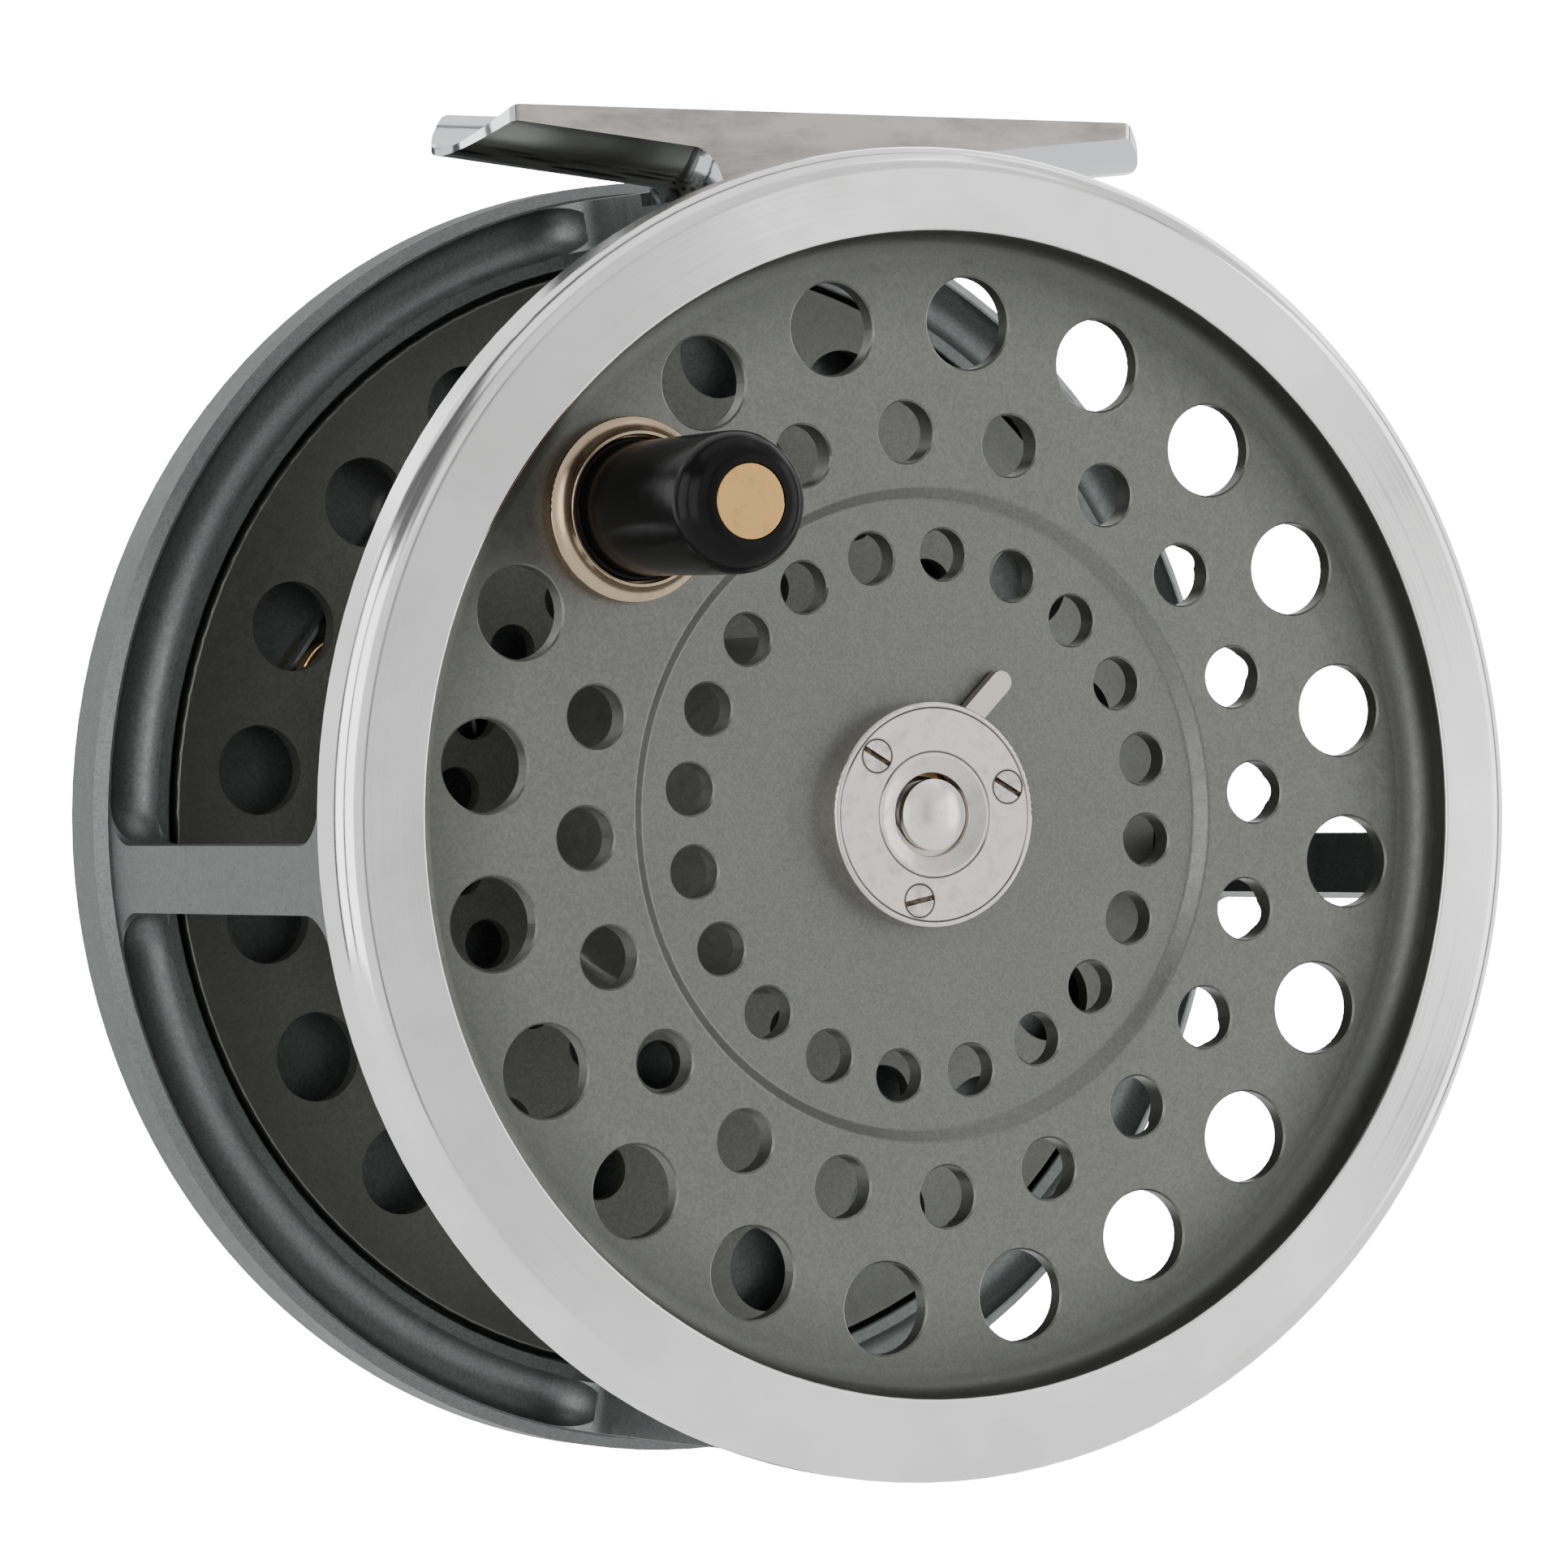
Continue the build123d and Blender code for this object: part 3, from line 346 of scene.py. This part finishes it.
def cap_metal():
    """The hub cap: turned and scuffed, with painted shade round its countersunk screws' heads and thin dark
    rings at two radii.
    """
    nodes = Nodes("cap_metal")
    radius, depth, x, z = nodes.polar(0, AXIS_Z)
    turned = nodes.rings(radius, depth, 2600)
    scuffs = nodes.spread(nodes.noise(900, 6.0, 0.75), 0.5, 0.7, 0, 0.75)
    scratches = nodes.spread(nodes.noise(1.0, 5.0, 0.8, stretch=(400, 400, 3800)), 0.58, 0.72, 0, 0.5)
    wear = nodes.math("MAXIMUM", scuffs, scratches)
    screw_shade_and_rings = 0.0
    # Painted shade: a dark outline round the edge of each countersunk screw head, where the gap to the cap is
    # in shade
    for angle in CAP_SCREW_ANGLES:
        across = nodes.math("SUBTRACT", x, CAP_SCREW_RING * math.cos(math.radians(angle)))
        along = nodes.math("SUBTRACT", z, CAP_SCREW_RING * math.sin(math.radians(angle)))
        near = nodes.spread(nodes.distance(across, along), 1.34 * MM, 1.46 * MM, 1, 0)
        screw_shade_and_rings = nodes.math("MAXIMUM", near, screw_shade_and_rings)
    # Thin dark rings at two radii on the cap's face
    for line in (4.95 * MM, 8.4 * MM):
        away = nodes.math("ABSOLUTE", nodes.math("SUBTRACT", radius, line))
        screw_shade_and_rings = nodes.math("MAXIMUM", nodes.spread(away, 0.04 * MM, 0.12 * MM, 0.7, 0), screw_shade_and_rings)
    clean = nodes.mix(wear, (0.63, 0.605, 0.58), (0.45, 0.425, 0.40))
    nodes.set(
        # The dark colour here is painted shade round the screw heads, plus the two thin dark rings
        base=nodes.mix(screw_shade_and_rings, clean, (0.07, 0.06, 0.05)),
        metal=1.0,
        rough=nodes.spread(nodes.math("ADD", turned, wear), 0.4, 1.2, 0.26, 0.42),
        normal=nodes.bump(nodes.math("ADD", turned, wear), SCRATCH, 0.5),
    )
    return nodes.material


def cap_screw_steel():
    """Bright screw heads with painted shade down in their slots, a little below the front of the head."""
    nodes = Nodes("cap_screw_steel")
    split = nodes.add("ShaderNodeSeparateXYZ")
    nodes.link(nodes.place, split.inputs[0])
    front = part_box("cap_screws")[0][1]
    # Painted shade: the slots, a little below the front of the head, are painted dark where they lie in shade
    slot_shade = nodes.spread(split.outputs[1], front + 0.08 * MM, front + 0.16 * MM, 0, 1)
    worn = nodes.spread(nodes.noise(1400, 4.0), 0.4, 0.65, 0, 1)
    steel = nodes.mix(worn, (0.60, 0.58, 0.56), (0.42, 0.39, 0.36))
    nodes.set(
        # The dark colour in the slots is painted shade
        base=nodes.mix(slot_shade, steel, nodes.mix(worn, (0.05, 0.035, 0.025), (0.16, 0.12, 0.09))),
        metal=1.0,
        rough=nodes.spread(worn, 0, 1, 0.24, 0.4),
        normal=nodes.bump(nodes.noise(3000, 3.0), SCRATCH, 0.3),
    )
    return nodes.material


def brushed_metal(name, colour, rough, stretch):
    """Metal brushed along one axis."""
    nodes = Nodes(name)
    strokes = nodes.noise(1.0, 4.0, 0.6, stretch=stretch)
    cloud = nodes.noise(150, 3.0)
    darker = tuple(channel * 0.8 for channel in colour)
    nodes.set(
        base=nodes.mix(nodes.spread(cloud, 0.35, 0.7, 0, 0.6), colour, darker),
        metal=1.0,
        rough=nodes.math("ADD", rough, nodes.math("MULTIPLY", nodes.math("SUBTRACT", strokes, 0.5), 0.2)),
        normal=nodes.bump(strokes, SCRATCH, 0.35),
    )
    return nodes.material


def foot_metal():
    """The foot: brushed and smudged on its upright sides, polished under the arms and in the saddle."""
    nodes = Nodes("foot_metal")
    geometry = nodes.add("ShaderNodeNewGeometry")
    split = nodes.add("ShaderNodeSeparateXYZ")
    nodes.link(geometry.outputs["Normal"], split.inputs[0])
    upright = nodes.math("GREATER_THAN", nodes.math("ABSOLUTE", split.outputs[1]), 0.985)
    strokes = nodes.noise(1.0, 4.0, 0.6, stretch=(500, 4000, 6000))
    smudges = nodes.spread(nodes.noise(260, 4.0, 0.65, stretch=(0.5, 1, 1.6)), 0.42, 0.66, 0, 1)
    brushed = nodes.mix(smudges, (0.43, 0.40, 0.375), (0.28, 0.26, 0.245))
    polish = nodes.spread(upright, 0, 1, 0.1, 0.32)
    nodes.set(
        base=nodes.mix(upright, (0.66, 0.67, 0.69), brushed),
        metal=1.0,
        rough=nodes.math("ADD", polish, nodes.math("MULTIPLY", nodes.math("SUBTRACT", strokes, 0.5), 0.12)),
        normal=nodes.bump(strokes, SCRATCH, 0.4),
    )
    return nodes.material


def knob_black():
    """Gloss black composition, with faint hairlines from use."""
    nodes = Nodes("knob_black")
    hair = nodes.noise(1.0, 4.0, 0.6, stretch=(900, 700, 900))
    nodes.set(
        base=nodes.mix(nodes.noise(400), (0.003, 0.003, 0.003), (0.006, 0.006, 0.006)),
        rough=nodes.spread(hair, 0.3, 0.7, 0.17, 0.24),
        specular=0.1,
        normal=nodes.bump(hair, SCRATCH, 0.1),
    )
    return nodes.material


def dress(names, material):
    """Give CAD nodes a material in all their slots."""
    for name in names:
        slots = NODES[name].material_slots
        for slot in slots:
            slot.material = material
        if not slots:
            NODES[name].data.materials.append(material)


dress(["frame"], cage_enamel())
dress(["spool"], spool_enamel())
dress(["reel_foot"], foot_metal())
dress(["hub_cap"], cap_metal())
dress(["spindle"], turned_metal("spindle_steel", (0.82, 0.80, 0.77), 0.3, HUB))
dress(["spool_bush"], turned_metal("bush_bronze", (0.50, 0.30, 0.14), 0.3, HUB))
dress(
    ["handle_washer"],
    turned_metal("washer_nickel", (0.45, 0.34, 0.235), 0.27, KNOB, 4200, contrast=0.16, bump=0.5, worn=0.7),
)
dress(["handle_spindle"], turned_metal("rivet_brass", (0.60, 0.36, 0.13), 0.36, KNOB, 5000))
dress(["handle_knob"], knob_black())
dress(["latch_lever"], brushed_metal("latch_metal", (0.58, 0.53, 0.47), 0.32, (3000, 3000, 600)))
dress(["cap_screws"], cap_screw_steel())
dress(
    ["foot_screws", "spindle_screw", "gear_screws", "spring_screws", "regulator_screw", "pawl_posts"],
    brushed_metal("screw_nickel", (0.58, 0.56, 0.54), 0.28, (4000, 2000, 900)),
)
dress(
    ["check_pawl", "spare_pawl", "click_gear"],
    brushed_metal("check_steel", (0.45, 0.45, 0.45), 0.3, (3000, 900, 900)),
)
dress(
    ["pawl_clips", "check_spring", "spare_spring", "latch_spring"],
    brushed_metal("spring_steel", (0.30, 0.30, 0.32), 0.25, (900, 3000, 900)),
)
dress(["regulator_cam"], turned_metal("cam_brass", (0.75, 0.50, 0.22), 0.28, middle("regulator_cam")))
dress(
    ["regulator_knob"],
    turned_metal("regulator_metal", (0.78, 0.78, 0.78), 0.22, middle("regulator_knob")),
)

# Stage: a pale floor, soft boxes and a plain surround ---------------------------------------------

FLOOR_R = 0.8
FLOOR_DROP = 0.18
FLOOR_SIDES = 96


def pale_floor():
    """Plain pale paper."""
    nodes = Nodes("paper")
    fibre = nodes.mix(nodes.noise(40), (0.90, 0.90, 0.90), (0.93, 0.93, 0.93))
    nodes.set(base=fibre, rough=0.9, specular=0.1)
    return nodes.material


def add_floor():
    """A round pale floor well under the reel."""
    height = CAD_BOX[0][2] - FLOOR_DROP
    edge = [math.radians(360 * step / FLOOR_SIDES) for step in range(FLOOR_SIDES)]
    vertices = [(FLOOR_R * math.cos(angle), FLOOR_R * math.sin(angle), height) for angle in edge]
    mesh = bpy.data.meshes.new("floor")
    mesh.from_pydata(vertices, [], [tuple(range(FLOOR_SIDES))])
    mesh.materials.append(pale_floor())
    floor = bpy.data.objects.new("floor", mesh)
    bpy.context.collection.objects.link(floor)


def add_light(name, azimuth, elevation, distance, size, radiance):
    """A soft box that faces the reel; azimuth runs to the right of the reel's front."""
    flat = math.cos(math.radians(elevation))
    towards = Vector(
        (
            math.sin(math.radians(azimuth)) * flat,
            -math.cos(math.radians(azimuth)) * flat,
            math.sin(math.radians(elevation)),
        )
    )
    data = bpy.data.lights.new(name, "AREA")
    data.shape = "RECTANGLE"
    data.size, data.size_y = size
    data.energy = radiance * math.pi * size[0] * size[1]
    light = bpy.data.objects.new(name, data)
    light.location = Vector((0, 0, AXIS_Z)) + towards * distance
    light.rotation_euler = towards.to_track_quat("Z", "Y").to_euler()
    bpy.context.collection.objects.link(light)


add_floor()
add_light("front", 14, -2, 1.2, (0.42, 1.15), 0.8)
add_light("front_right", 34, -2, 1.2, (0.5, 1.15), 1.5)
add_light("right", 62, 0, 1.2, (0.6, 1.2), 2.8)
add_light("front_left", -20, 2, 1.25, (0.75, 1.15), 1.0)
add_light("left_front", -55, 4, 1.25, (0.75, 1.15), 3.2)
add_light("front_high", 10, 43, 1.2, (1.5, 0.75), 0.92)
add_light("right_high", 80, 42, 1.2, (1.1, 0.8), 0.85)
add_light("high", 0, 78, 1.0, (1.2, 0.6), 1.4)
add_light("front_low", 20, -38, 1.2, (0.9, 0.4), 2.0)
add_light("back_right", 120, 10, 1.2, (1.5, 1.3), 1.9)
add_light("left", -97, 8, 1.1, (0.7, 1.1), 3.4)
add_light("back_left", -150, 6, 1.1, (0.9, 1.2), 1.2)
add_light("back_high", 165, 50, 1.2, (2.2, 1.1), 1.3)


def add_world():
    """A dim grey surround for light and reflections, seen as plain white behind the reel."""
    world = bpy.data.worlds.new("studio")
    world.use_nodes = True
    tree = world.node_tree
    surround = tree.nodes["Background"]
    surround.inputs["Color"].default_value = (0.80, 0.80, 0.82, 1)
    surround.inputs["Strength"].default_value = 0.16
    backdrop = tree.nodes.new("ShaderNodeBackground")
    backdrop.inputs["Color"].default_value = (1, 1, 1, 1)
    backdrop.inputs["Strength"].default_value = 16
    choice = tree.nodes.new("ShaderNodeMixShader")
    tree.links.new(tree.nodes.new("ShaderNodeLightPath").outputs["Is Camera Ray"], choice.inputs[0])
    tree.links.new(surround.outputs[0], choice.inputs[1])
    tree.links.new(backdrop.outputs[0], choice.inputs[2])
    tree.links.new(choice.outputs[0], tree.nodes["World Output"].inputs["Surface"])
    bpy.context.scene.world = world


add_world()
